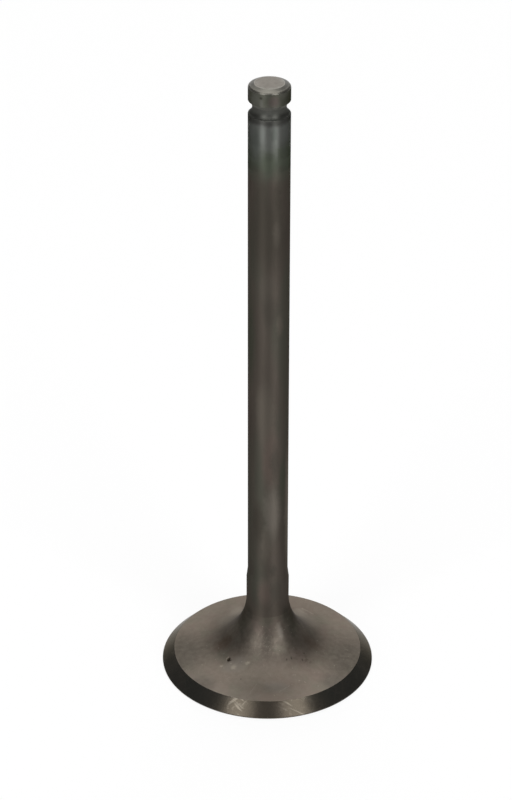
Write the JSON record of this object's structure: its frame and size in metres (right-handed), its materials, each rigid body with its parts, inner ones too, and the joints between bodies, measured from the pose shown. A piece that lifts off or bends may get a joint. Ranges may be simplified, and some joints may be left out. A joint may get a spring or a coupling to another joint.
{
  "type": "engine valve",
  "caption": "Poppet valve: a flat round head with a bevelled seat, a flared neck and a long slim stem with a keeper groove near its tip.",
  "frame": {"origin": "centre of the combustion face, the flat face of the head that the valve stands on", "axes": "+Z along the stem's axis, from the head to the tip; the valve is round, so X and Y are free"},
  "size_m": [0.0294, 0.0294, 0.0883],
  "materials": {
    "valve_steel": "dark ground and blasted steel"
  },
  "bodies": {
    "root": {"valve": "valve_steel"}
  },
  "joints": []
}
